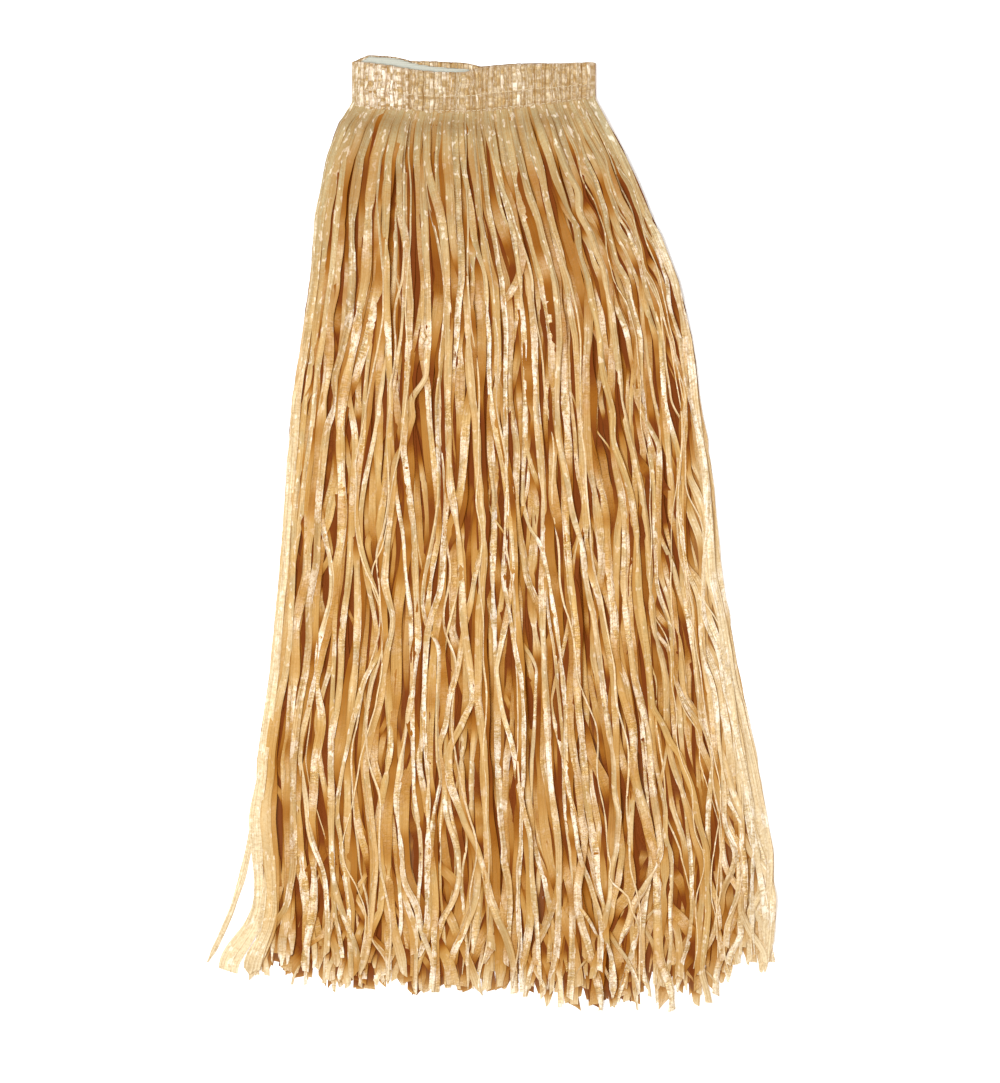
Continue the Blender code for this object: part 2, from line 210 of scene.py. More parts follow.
def raffia_finish(name, near_band, shaded, deep, calm, glint, patch_length):
    """The raffia film's material, which reads where a point lies on its own strand of tape:
    near_band tints it next to the band, and shaded and deep are the painted shade it is given
    down in the pile."""
    paint = bpy.data.materials.new(name)
    paint.cycles.emission_sampling = "NONE"
    paint.use_nodes = True
    tree = paint.node_tree

    def attribute(named):
        return node(tree, "ShaderNodeAttribute", {"attribute_name": named}, {}, output=2)

    def place(across_length, along_length):
        u, v = across * half * (1.0 / across_length), along * (1.0 / along_length)
        return node(tree, "ShaderNodeCombineXYZ", {}, {"X": u, "Y": v, "Z": strand * 91.7})

    along, across, strand, half = (attribute(key) for key in ("along", "across", "strand", "half"))
    sunk, pile, crinkle = (attribute(key) for key in ("sunk", "pile", "crinkle"))
    ribs = 1.0 - abs(noise(tree, place(0.0040, RIB_LENGTH), 1.0, 1.0) - 0.5) * 4.0
    wrinkles = noise(tree, place(0.0030, WRINKLE_LENGTH), 1.0, 2.0)
    patches = noise(tree, place(0.0060, patch_length), 1.0, 2.0)
    mottle = noise(tree, place(0.0016, 0.0024), 1.0, 2.0)
    cross = noise(tree, place(0.0050, 0.0015), 1.0, 2.0)
    glint_flecks = noise(tree, place(0.0032, 0.0070), 1.0, 1.0)
    streaks = noise(tree, place(0.0008, 0.080), 1.0, 2.0)
    tone = noise(tree, place(0.0060, 0.120), 1.0, 1.0)
    sheen = noise(tree, place(0.0040, 0.020), 1.0, 2.0)
    body = mixed(tree, strand.ramp(0.0, 1.0), STRAW_PALE, STRAW_GOLD)
    body = mixed(tree, tone.ramp(0.38, 0.62) * 0.55, body, STRAW_DULL)
    body = mixed(tree, sheen.ramp(0.56, 0.38) * 0.60, body, STRAND_ROOT)
    body = mixed(tree, (1.0 - sunk.ramp(-0.25, 0.25)) * 0.60, body, STRAW_LIT)
    # Painted backlight where the pile is thin.
    body = mixed(tree, (1.0 - pile.ramp(2.0, 8.0)) * 0.75, body, STRAW_BACKLIT)
    body = mixed(tree, (1.0 - along.ramp(0.07, 0.26)) * calm, body, near_band)
    body = mixed(tree, mottle.ramp(0.54, 0.36) * 0.28, body, STRAW_STREAK_AND_SHADE)
    # Painted shade on one side of the crosswise crinkles, and a painted glint on the other.
    body = mixed(tree, cross.ramp(0.50, 0.36) * (crinkle * 0.40 + 0.10), body, STRAW_STREAK_AND_SHADE)
    body = mixed(tree, cross.ramp(0.54, 0.66) * crinkle * 0.50, body, STRAW_GLINT)
    # Painted shade at the strands' edges, where they meet their neighbours.
    body = mixed(tree, abs(across).ramp(0.74, 1.0) * pile.ramp(2.0, 7.0) * 0.65, body, STRAW_STREAK_AND_SHADE)
    # Painted glints: near-white patches and flecks on crinkled film, put into the base colour.
    painted_glints = crinkle.ramp(0.2, 0.9) * patches.ramp(0.42, 0.56) * (ribs.ramp(0.0, 0.8) * 0.5 + 0.5)
    painted_glints = (painted_glints + glint_flecks.ramp(0.60, 0.68) * 0.65) * glint
    painted_glints = painted_glints * (mottle.ramp(0.34, 0.52) * 0.7 + 0.3)
    # bare: the painted glints fade where the painted shade of the pile is deep.
    bare = 1.0 - sunk.ramp(0.2, 1.3) * 0.8
    body = mixed(tree, painted_glints * bare, body, STRAW_GLINT)
    # Painted shade: strands down in the pile get darker, more orange colours, more so further from the
    # band.
    body = mixed(tree, sunk.ramp(-0.1, 0.9) * (along.ramp(0.12, 0.38) * 0.50 + 0.12), body, shaded)
    body = mixed(tree, sunk.ramp(0.15, 1.5), body, deep)
    body = mixed(tree, streaks.ramp(0.47, 0.62) * 0.42, body, STRAW_STREAK_AND_SHADE)
    body = mixed(tree, sunk.ramp(0.8, 2.1), body, UMBER)
    # Painted glow: the emission stands in for light through the film.
    glow = mixed(tree, sunk.ramp(0.4, 1.8), FILM_GLOW, AMBER_GLOW)
    glow = mixed(tree, 1.0 - pile.ramp(1.0, 7.0), glow, FLOOR_GLOW)
    height = ribs * (crinkle * 0.34 + 0.05) + wrinkles * (crinkle * 0.9 + 0.40) + streaks * 0.45
    bump = node(tree, "ShaderNodeBump", {}, {"Height": height, "Strength": 1.0, "Distance": 0.0010})
    shader = tree.nodes["Principled BSDF"]
    shader.inputs["IOR"].default_value = 1.5
    shader.inputs["Specular IOR Level"].default_value = 0.60
    shader.inputs["Specular Tint"].default_value = (1.0, 0.66, 0.30, 1.0)
    shader.inputs["Emission Strength"].default_value = 1.0
    roughness = 0.44 - crinkle * bare * 0.26 + wrinkles * 0.08 + sunk.ramp(0.3, 1.5) * 0.34
    links = {"Base Color": body, "Roughness": roughness, "Normal": bump, "Emission Color": glow}
    for socket, wire in links.items():
        tree.links.new(wire.socket, shader.inputs[socket])
    return paint


raffia_strands = raffia_finish("raffia_strands", STRAND_ROOT, HONEY, AMBER, 0.75, 0.95, 0.0130)
raffia_band = raffia_finish("raffia_band", BAND_STRAW, BAND_STRAW, BAND_CREASE_SHADE, 1.0, 0.95, 0.0024)


def mesh_piece(name, points, faces, attributes, paint):
    """A mesh piece from arrays, with its attributes on the points and its material."""
    mesh = bpy.data.meshes.new(name)
    mesh.from_pydata(points.tolist(), [], faces.tolist())
    for key, values in attributes.items():
        layer = mesh.attributes.new(key, "FLOAT", "POINT")
        layer.data.foreach_set("value", np.asarray(values, np.float32).ravel())
    mesh.shade_smooth()
    mesh.materials.append(paint)
    made = bpy.data.objects.new(name, mesh)
    bpy.context.scene.collection.objects.link(made)
    return made


def placed(piece, cad_nodes):
    """Rides a piece on the skirt in place of its CAD nodes."""
    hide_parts(*cad_nodes)
    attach(piece, "root")


# The waistband: raffia gathered tightly over the elastic, folded over at its top edge and sewn
# with two rows, half way down and at its hem, where the strands come out from under it.
BAND_LOW, BAND_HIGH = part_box("waistband_front")
TOP_Y = BAND_HIGH.y
BAND_WIDTH = BAND_HIGH.x - BAND_LOW.x
BAND_MIDDLE_X = (BAND_HIGH.x + BAND_LOW.x) / 2
BAND_MIDDLE_Z = 0.0037
BAND_ROUND = 0.0070
FILM = 0.00014
STITCH_ROWS = (0.605, 0.965)

BandEdge = namedtuple("BandEdge", "across front_top back_top tape_top bottom")
BAND_EDGES = (
    BandEdge(0.00, 0.0000, 0.0000, 0.0040, 0.0370),
    BandEdge(0.04, 0.0006, -0.0040, -0.0010, 0.0385),
    BandEdge(0.07, 0.0012, -0.0062, -0.0047, 0.0390),
    BandEdge(0.13, 0.0029, -0.0054, -0.0040, 0.0396),
    BandEdge(0.17, 0.0040, -0.0049, -0.0034, 0.0402),
    BandEdge(0.21, 0.0055, -0.0032, -0.0016, 0.0408),
    BandEdge(0.24, 0.0064, -0.0014, 0.0004, 0.0412),
    BandEdge(0.28, 0.0074, -0.0011, 0.0022, 0.0418),
    BandEdge(0.34, 0.0090, -0.0010, 0.0038, 0.0425),
    BandEdge(0.46, 0.0092, 0.0002, 0.0058, 0.0424),
    BandEdge(0.53, 0.0052, 0.0032, 0.0074, 0.0418),
    BandEdge(0.66, 0.0028, 0.0010, 0.0064, 0.0390),
    BandEdge(0.76, 0.0022, 0.0004, 0.0058, 0.0368),
    BandEdge(0.85, 0.0016, 0.0010, 0.0052, 0.0345),
    BandEdge(1.00, 0.0008, 0.0010, 0.0052, 0.0300),
)
Half = namedtuple("Half", "name node facing top inset rise rows columns seed")


def column(rows, name):
    """One named column of a table."""
    return np.array([getattr(row, name) for row in rows])


def band_edge(name, x):
    """How far below the band's top the named edge lies at x."""
    across = (x - BAND_MIDDLE_X) / BAND_WIDTH + 0.5
    return np.interp(across, column(BAND_EDGES, "across"), column(BAND_EDGES, name))


def smooth(share):
    """A soft step from 0 to 1."""
    share = np.clip(share, 0.0, 1.0)
    return share * share * (3.0 - 2.0 * share)


def waver(rng, along, shortest, longest, terms=3):
    """A smooth wandering value of about plus or minus one along a line."""
    total = np.zeros_like(along)
    for _ in range(terms):
        length, start = rng.uniform(shortest, longest), rng.uniform(0.0, 2.0 * math.pi)
        total += np.sin(2.0 * math.pi * along / length + start)
    return total / math.sqrt(terms)


def crumple(rng, x, down, width, length):
    """Crushed folds of a given size, from 0 in their creases to 1 on their crests."""
    lattice = rng.random((int(np.ptp(down) / length) + 3, int(np.ptp(x) / width) + 3))
    u, v = (x - x.min()) / width, (down - down.min()) / length
    i, j = v.astype(int), u.astype(int)
    s, t = smooth(v - i), smooth(u - j)
    upper = lattice[i, j] * (1 - t) + lattice[i, j + 1] * t
    lower = lattice[i + 1, j] * (1 - t) + lattice[i + 1, j + 1] * t
    return 1.0 - np.abs(2.0 * (upper * (1 - s) + lower * s) - 1.0)


def pleats(rng, place, count):
    """Uneven pleats side by side: their height from 0 to 1, and which pleat each point is on."""
    widths = rng.uniform(0.45, 1.55, count)
    stops = np.concatenate([[0.0], np.cumsum(widths)]) / widths.sum()
    phase = np.interp(np.clip(place, 0.0, 1.0), stops, np.arange(count + 1))
    which = np.minimum(phase.astype(int), count - 1)
    rounded = np.sqrt(np.abs(np.sin(math.pi * (phase - which))))
    return rounded * rng.uniform(0.4, 1.0, count)[which], which, 2.0 * (phase - which) - 1.0


def above_floor(z):
    """Heights kept above the floor, in their order."""
    return np.where(z < 0.0006, 0.0006 * np.exp(z / 0.0006 - 1.0), z)


def closed_shell(outer, inner, facing):
    """Points and faces of a thin shell between two grids, closed all round its rim."""
    rows, columns = outer.shape[:2]
    index = np.arange(rows * columns).reshape(rows, columns)
    corners = [index[:-1, :-1], index[1:, :-1], index[1:, 1:], index[:-1, 1:]]
    skin = np.stack(corners, -1).reshape(-1, 4)
    rim = np.concatenate([index[0, :], index[1:, -1], index[-1, -2::-1], index[-2:0:-1, 0]])
    after = np.roll(rim, -1)
    within = rows * columns
    edge = np.stack([rim, after, after + within, rim + within], -1)
    faces = np.concatenate([skin, skin[:, ::-1] + within, edge])
    points = np.concatenate([outer.reshape(-1, 3), inner.reshape(-1, 3)])
    return points, faces if facing > 0 else faces[:, ::-1]


def band_half(half, paint):
    """One half of the band, or of the tape in it: a gathered shell that turns in at the sides."""
    rng = np.random.default_rng(half.seed)
    reach = BAND_WIDTH / 2 - half.inset
    turn = np.linspace(-1.0, 1.0, half.columns)
    x = np.broadcast_to(BAND_MIDDLE_X + reach * turn, (half.rows, half.columns))
    from_side = reach * (1.0 - np.abs(turn))
    side = np.clip(from_side / (BAND_ROUND - half.inset), 0.0, 1.0)
    arch = np.sqrt(1.0 - (1.0 - side) ** 2)
    share = np.linspace(0.0, 1.0, half.rows)[:, None]
    top, bottom = band_edge(half.top, x), band_edge("bottom", x)
    down = top + share * (bottom - top)
    place = (x - x.min()) / np.ptp(x)
    sway = 0.0075 * (crumple(rng, x, down, 0.014, 0.016) - 0.5)
    deep, _, _ = pleats(rng, place + sway, 23)
    fine, pleat, across = pleats(rng, place + 1.6 * sway, 70)
    coarse = crumple(rng, x, down, 0.0026, 0.0060)
    crushed = 0.55 * crumple(rng, x, down, 0.0017, 0.0034) + 0.45 * crumple(rng, x, down, 0.0012, 0.0018)
    held = 0.55 + 0.45 * crumple(rng, x, down, 0.013, 0.011)
    height = 0.60 * deep * held + 0.12 * fine + 0.22 * coarse + 0.24 * crushed
    below_top, above_hem = share * (bottom - top), (1.0 - share) * (bottom - top)
    sewn = np.zeros_like(height)
    for row in STITCH_ROWS:
        sewn = np.maximum(sewn, np.exp(-(((share - row) * (bottom - top) / 0.0020) ** 2)))
    lip = smooth(below_top / 0.0018)
    rise = half.rise * (height * (1.0 - 0.30 * sewn) - 0.12 * sewn)
    calm = 0.35 + 0.65 * smooth(from_side / 0.009)
    bulk = (BAND_MIDDLE_Z - half.inset) * arch
    hem_fall = smooth(above_hem / 0.0030)
    z = bulk * (0.80 + 0.20 * lip) * (0.86 + 0.14 * hem_fall)
    z = np.maximum(z + rise * calm * arch * (0.4 + 0.6 * lip) * (0.30 + 0.70 * hem_fall), 0.0003)
    ruffle = 0.0006 * (deep - 0.5) * (1.0 - smooth(below_top / 0.004))
    hem = (0.0013 * (deep - 0.6) + 0.0011 * (coarse - 0.5)) * (1.0 - smooth(above_hem / 0.004))
    y = TOP_Y - down + ruffle - hem
    outer = np.stack([x, y, above_floor(BAND_MIDDLE_Z + half.facing * z)], -1)
    within = BAND_MIDDLE_Z + half.facing * np.maximum(z - FILM, 0.0001)
    inner = np.stack([x, y, above_floor(within)], -1)
    points, faces = closed_shell(outer, inner, half.facing)
    # turned: a patch at the band's left with more crinkle, so more bump and more painted glints, where
    # the light catches it.
    turned = np.exp(-(((place - 0.13) / 0.08) ** 2))
    # rim: the back half's top edge, given painted shade as a dark line.
    rim = (half.facing < 0) * (1.0 - smooth(below_top / 0.0014))
    shade = {
        "along": 0.45 * down - 3.0 * pleat,
        "half": np.full(x.shape, 0.0034),
        "across": np.maximum(0.6 * across, 1.2 * rim),
        "strand": rng.random(pleat.max() + 1)[pleat],
        # sunk: painted shade in the pleats' valleys and on the back half's top rim.
        "sunk": 1.1 * (1.0 - height / 0.85) - 0.35 + 1.1 * smooth((0.5 - deep) / 0.5) * held + 0.8 * rim,
        "crinkle": (0.30 + 0.40 * crushed) * (0.75 + 0.9 * turned),
        "pile": np.full(x.shape, 12.0),
    }
    shade = {key: np.tile(np.ravel(values), 2) for key, values in shade.items()}
    return mesh_piece(half.name, points, faces, shade, paint)


BAND_HALVES = (
    Half("band_front", "waistband_front", 1, "front_top", 0.0, 0.0038, 52, 560, 7),
    Half("band_back", "waistband_back", -1, "back_top", 0.0, 0.0004, 30, 360, 9),
)
band_front, band_back = (band_half(half, raffia_band) for half in BAND_HALVES)
placed(band_front, ["waistband_front"])
placed(band_back, ["waistband_back"])


# The stitching: two rows of light thread through both halves of the band, seen as short stitches
# that sink a little into the gathers.
STITCH_LENGTH, STITCH_STEP, THREAD_RADIUS = 0.0027, 0.0043, 0.00032


def thread_finish():
    """Straw-coloured sewing thread."""
    paint = bpy.data.materials.new("sewing_thread")
    paint.use_nodes = True
    shader = paint.node_tree.nodes["Principled BSDF"]
    shader.inputs["Base Color"].default_value = (0.72, 0.56, 0.35, 1.0)
    shader.inputs["Roughness"].default_value = 0.55
    return paint


def stitch_tree(paint):
    """Geometry nodes that lay one short stitch at every point, turned along its row."""
    tree = bpy.data.node_groups.new("stitches", "GeometryNodeTree")
    sockets = (("Places", "Geometry", "INPUT"), ("Length", "Float", "INPUT"))
    sockets += (("Radius", "Float", "INPUT"), ("Stitches", "Geometry", "OUTPUT"))
    for name, kind, way in sockets:
        tree.interface.new_socket(name=name, in_out=way, socket_type="NodeSocket" + kind)
    entry = tree.nodes.new("NodeGroupInput")
    places, length, radius = (Wire(tree, entry.outputs[i]) for i in range(3))
    reach = node(tree, "ShaderNodeCombineXYZ", {}, {"X": length * 0.5})
    back = node(tree, "ShaderNodeCombineXYZ", {}, {"X": length * -0.5})
    rise = node(tree, "ShaderNodeCombineXYZ", {}, {"Z": radius * 1.6})
    arc = {"Resolution": 5, "Start": back, "Middle": rise, "End": reach}
    arc = node(tree, "GeometryNodeCurveQuadraticBezier", {}, arc)
    ring = {"Resolution": 5, "Radius": radius}
    ring = node(tree, "GeometryNodeCurvePrimitiveCircle", {"mode": "RADIUS"}, ring)
    sweep = {"Curve": arc, "Profile Curve": ring, "Fill Caps": True}
    stitch = node(tree, "GeometryNodeCurveToMesh", {}, sweep)
    turn = node(tree, "GeometryNodeInputNamedAttribute", {"data_type": "FLOAT_VECTOR"}, {"Name": "turn"})
    spread = {"Points": places, "Instance": stitch, "Rotation": turn}
    spread = node(tree, "GeometryNodeInstanceOnPoints", {}, spread)
    spread = node(tree, "GeometryNodeRealizeInstances", {}, {"Geometry": spread})
    spread = node(tree, "GeometryNodeSetMaterial", {}, {"Geometry": spread, "Material": paint})
    leave = tree.nodes.new("NodeGroupOutput")
    tree.links.new(spread.socket, leave.inputs["Stitches"])
    return tree


def grown_mesh(source, tree, sizes, name):
    """What a geometry nodes tree makes of an object, as a plain mesh piece."""
    modifier = source.modifiers.new("grown", "NODES")
    modifier.node_group = tree
    for item in tree.interface.items_tree:
        if item.name in sizes:
            modifier[item.identifier] = sizes[item.name]
    evaluated = source.evaluated_get(bpy.context.evaluated_depsgraph_get())
    made = bpy.data.objects.new(name, bpy.data.meshes.new_from_object(evaluated))
    made.data.name = name
    bpy.context.scene.collection.objects.link(made)
    bpy.data.objects.remove(source)
    return made


def stitch_places(piece, seed):
    """Where the stitches sit on the band's front, and how each one is turned."""
    rng = np.random.default_rng(seed)
    grid = np.empty(3 * len(piece.data.vertices), np.float32)
    piece.data.vertices.foreach_get("co", grid)
    points = grid.reshape(-1, 3)
    points = points[points[:, 2] > BAND_MIDDLE_Z + 0.0010]
    places, turns = [], []
    for row in STITCH_ROWS:
        count = int((BAND_WIDTH - 0.006) / STITCH_STEP)
        steps = np.linspace(BAND_LOW.x + 0.004, BAND_HIGH.x - 0.004, count)
        for x in steps + rng.normal(0.0, 0.0003, count):
            top, bottom = band_edge("front_top", x), band_edge("bottom", x)
            ahead = band_edge("bottom", x + 0.004) - band_edge("bottom", x - 0.004)
            y = TOP_Y - top - row * (bottom - top) + rng.normal(0.0, 0.0003)
            near = np.argsort((points[:, 0] - x) ** 2 + (points[:, 1] - y) ** 2)[:40]
            places.append((x, y, points[near, 2].max() - 0.5 * THREAD_RADIUS))
            turns.append((0.0, 0.0, -math.atan2(ahead, 0.008) * row + rng.normal(0.0, 0.12)))
    mesh = bpy.data.meshes.new("stitch_places")
    mesh.from_pydata(places, [], [])
    turn = mesh.attributes.new("turn", "FLOAT_VECTOR", "POINT")
    turn.data.foreach_set("vector", np.ravel(turns).astype(np.float32))
    holder = bpy.data.objects.new("stitch_places", mesh)
    bpy.context.scene.collection.objects.link(holder)
    return holder


sizes = {"Length": STITCH_LENGTH, "Radius": THREAD_RADIUS}
places = stitch_places(band_front, 12)
stitches = grown_mesh(places, stitch_tree(thread_finish()), sizes, "band_stitches")
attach(stitches, "root")


# The elastic: a white knitted tape inside the band, ribbed along its length, which shows between
# the band's front and back at the upper left.
def elastic_finish():
    """White knit, matt, with fine ribs along the tape and small loops across them."""
    paint = bpy.data.materials.new("elastic")
    paint.use_nodes = True
    tree = paint.node_tree
    where = node(tree, "ShaderNodeTexCoord", {}, {}, output="Object")
    ribs = node(
        tree,
        "ShaderNodeTexWave",
        {"wave_type": "BANDS", "bands_direction": "Y"},
        {"Vector": where, "Scale": 210.0, "Distortion": 1.2, "Detail": 1.0},
        output=1,
    )
    loops = noise(tree, where, 1400.0, 1.0)
    tint = mixed(tree, loops, (0.54, 0.51, 0.41, 1.0), (0.66, 0.62, 0.53, 1.0))
    tint = mixed(tree, ribs * 0.35, tint, (0.45, 0.43, 0.34, 1.0))
    bump = node(
        tree,
        "ShaderNodeBump",
        {},
        {"Height": ribs * 0.6 + loops * 0.6, "Strength": 0.7, "Distance": 0.0004},
    )
    shader = tree.nodes["Principled BSDF"]
    shader.inputs["Roughness"].default_value = 0.85
    tree.links.new(tint.socket, shader.inputs["Base Color"])
    tree.links.new(bump.socket, shader.inputs["Normal"])
    return paint


white_knit = elastic_finish()
TAPE_INSET = 0.0020
TAPES = (
    Half("elastic_front_tape", "elastic_front", 1, "front_top", TAPE_INSET, 0.0002, 20, 220, 3),
    Half("elastic_back_tape", "elastic_back", -1, "tape_top", TAPE_INSET, 0.0002, 20, 220, 4),
)
for half in TAPES:
    tape = band_half(half, white_knit)
    placed(tape, [half.node])


# The loose strands: some six hundred lengths of the same tape, sewn in at the band's hem and laid
# on each other from the back of the skirt to its front, cut off unevenly at the bottom.
Side = namedtuple("Side", "down left right")
SIDES = (
    Side(0.030, -0.1150, 0.0855),
    Side(0.034, -0.1160, 0.0865),
    Side(0.053, -0.1275, 0.0970),
    Side(0.081, -0.1386, 0.1121),
    Side(0.131, -0.1477, 0.1345),
    Side(0.181, -0.1527, 0.1560),
    Side(0.230, -0.1602, 0.1693),
    Side(0.280, -0.1677, 0.1751),
    Side(0.355, -0.1735, 0.1868),
    Side(0.430, -0.1793, 0.1935),
    Side(0.504, -0.1868, 0.2067),
    Side(0.579, -0.1975, 0.2216),
    Side(0.629, -0.1975, 0.2310),
    Side(0.654, -0.1960, 0.2357),
    Side(0.679, -0.1945, 0.2366),
    Side(0.704, -0.1950, 0.2376),
    Side(0.728, -0.1980, 0.2385),
    Side(0.753, -0.2010, 0.2385),
    Side(0.800, -0.2030, 0.2385),
)
HemReach = namedtuple("HemReach", "across reach")
HEM_REACH = (
    HemReach(0.00, 0.752),
    HemReach(0.08, 0.760),
    HemReach(0.28, 0.774),
    HemReach(0.45, 0.768),
    HemReach(0.58, 0.776),
    HemReach(0.70, 0.789),
    HemReach(0.80, 0.774),
    HemReach(0.92, 0.756),
    HemReach(1.00, 0.728),
)
Layer = namedtuple(
    "Layer", "name strands width wisps points root_z lean pressed loose crease seed"
)
LAYERS = (
    Layer("back_outer", 96, 0.0078, 0, 116, 0.0008, 0.04, 0.4, 0.3, 0.15, 101),
    Layer("back_middle", 96, 0.0082, 0, 70, 0.0013, 0.04, 0.4, 0.0, 0.15, 102),
    Layer("back_inner", 96, 0.0076, 0, 70, 0.0018, 0.04, 0.4, 0.3, 0.20, 103),
    Layer("front_inner", 110, 0.0052, 4, 150, 0.0052, 0.08, 0.35, 0.7, 0.35, 104),
    Layer("front_middle", 112, 0.0051, 8, 184, 0.0059, 0.14, 0.25, 1.0, 0.50, 105),
    Layer("front_outer", 106, 0.0050, 13, 186, 0.0066, 0.20, 0.15, 1.0, 0.60, 106),
)
TUCKED = 0.0040
COVERING = 36
CELL = 0.00125
REACH = 9
BESIDE = 3
PILE_LEFT = cad_low.x - 0.03
pile_shape = (int(0.82 / CELL), int((cad_high.x - cad_low.x + 0.06) / CELL))
pile_top = np.zeros(pile_shape)
pile_count = np.zeros(pile_shape)

CLUMP_WIDTH, CLUMP_LENGTH, CLUMP_PULL = 0.0075, 0.095, 0.0024
clumps = np.random.default_rng(31).normal(0.0, CLUMP_PULL, (16, 100))

Cut = namedtuple("Cut", "share width roams flare stray")
Strand = namedtuple("Strand", "down x z half twist crinkle under rows columns")
WIDE_TAPES = (
    Cut(0.050, 0.0080, 0.30, 0.40, 0.0),
    Cut(0.028, 0.0088, 0.25, 0.55, 0.0),
    Cut(0.000, 0.0095, 0.20, 0.75, 0.0),
)
STRAY_TAPE = Cut(0.004, 0.0052, 0.15, 0.0, 0.0440)
STRAY_END = 0.7480


def softened(values, spread):
    """Values along a line, averaged with their neighbours."""
    reach = int(3 * spread)
    weights = np.exp(-0.5 * (np.arange(-reach, reach + 1) / spread) ** 2)
    padded = np.pad(values, reach, mode="edge")
    return np.convolve(padded, weights / weights.sum(), "valid")


def highest_near(values, reach):
    """The highest of the values within reach of each one."""
    padded = np.pad(values, reach, mode="edge")
    return np.lib.stride_tricks.sliding_window_view(padded, 2 * reach + 1).max(-1)


def clumped(x, down):
    """How far the strands at x are drawn aside into the skirt's loose bunches."""
    u, v = (x - PILE_LEFT) / CLUMP_WIDTH, down / CLUMP_LENGTH
    i, j = v.astype(int), u.astype(int)
    s, t = smooth(v - i), smooth(u - j)
    upper = clumps[i, j] * (1 - t) + clumps[i, j + 1] * t
    return upper * (1 - s) + (clumps[i + 1, j] * (1 - t) + clumps[i + 1, j + 1] * t) * s


def strand_width(rng, cut, down):
    """Half the width along a strand: it is pinched where the film turns over, and cut at its end."""
    half = cut.width / 2 * (1.0 + 0.12 * waver(rng, down, 0.03, 0.12))
    if cut.flare:
        half = half * (0.55 + 0.45 * smooth((down - 0.45) / 0.15))
        half = half * (1.0 + 0.9 * cut.flare * smooth((down - 0.685) / 0.070))
    half = half * (1.20 - 0.20 * smooth((down - 0.06) / 0.22))
    pinches = 0 if cut.stray or cut.flare else rng.poisson(3.5)
    for place in rng.uniform(down[0] + 0.08, down[-1], pinches):
        depth, length = rng.uniform(0.2, 0.62), rng.uniform(0.004, 0.014)
        half = half * (1.0 - depth * np.exp(-(((down - place) / length) ** 2)))
    tip = smooth((down[-1] - down) / rng.uniform(0.004, 0.020))
    left = rng.choice([1.0, 1.0, 0.6, 0.25])
    return half * (left + (1.0 - left) * tip)


def strand_course(rng, cut, loose):
    """Where one strand runs before it is laid: its rows of the pile, and its places across."""
    root = float(band_edge("bottom", BAND_MIDDLE_X + (cut.share - 0.5) * BAND_WIDTH)) - TUCKED
    hem_share = np.clip(cut.share + rng.normal(0.0, 0.03), 0.0, 1.0)
    reach = np.interp(hem_share, column(HEM_REACH, "across"), column(HEM_REACH, "reach"))
    end = STRAY_END if cut.stray else reach - 0.036 * rng.random() ** 1.8 * (cut.flare == 0.0)
    rows = np.arange(int(root / CELL), int(end / CELL))
    down = rows * CELL
    free = smooth((down - root) / 0.09) * (0.35 + 0.65 * smooth(down / 0.45)) * cut.roams
    knots = np.cumsum(rng.uniform(0.040, 0.190, 18)) + root - 0.05
    bends = np.interp(down, knots, rng.normal(0.0, 1.0, len(knots)))
    looser = 1.0 + 0.35 * smooth((down - 0.42) / 0.25)
    sway = 0.0058 * rng.uniform(0.4, 1.7) * softened(bends, rng.uniform(1.0, 4.0)) * looser
    sway += 0.0018 * waver(rng, down, 0.2, 0.6)
    sway += (cut.width < 0.0020) * 0.0018 * waver(rng, down, 0.06, 0.20)
    if rng.random() < 0.45 and cut.roams > 0.4 and cut.width > 0.0020:
        slip = smooth((down - rng.uniform(0.05, 0.62)) / rng.uniform(0.045, 0.090))
        sway += rng.normal(0.0, 0.011) * slip
    splay = rng.normal(0.0, 0.016) * smooth((down - end + 0.11) / 0.11) ** 1.5 * cut.roams
    drift = rng.normal(0.0, 0.030) * (down / 0.75)
    left = np.interp(down, column(SIDES, "down"), column(SIDES, "left"))
    right = np.interp(down, column(SIDES, "down"), column(SIDES, "right"))
    span = right - left - cut.width
    place = cut.share + (free * (sway + drift) + splay) / span
    bounce = 0.006
    place = np.hypot(place, bounce)
    place = 1.0 - np.hypot(1.0 - place, bounce)
    x = left + cut.width / 2 + span * place
    inward = smooth(np.minimum(x - left, right - x) / 0.012)
    x = x + loose * cut.roams * clumped(x, down) * inward * smooth((down - root - 0.01) / 0.10)
    x = x - cut.stray * np.clip((down - 0.588) / 0.158, 0.0, 1.1) ** 1.55
    x = x - cut.flare * (0.008 * smooth((down - 0.58) / 0.05) + 0.014 * smooth((down - 0.69) / 0.06))
    x = x - 0.012 * cut.flare * smooth((down - 0.715) / 0.035)
    return rows, down, x


def layer_foot(low, x, down, level):
    """The least height of a layer's strands, which spread open below the band."""
    off = np.clip(np.abs(x - 0.004) / 0.22, 0.0, 1.0)
    return low + level * 0.0006 * (1.0 - 0.5 * off**2) * smooth((down - 0.04) / 0.06)


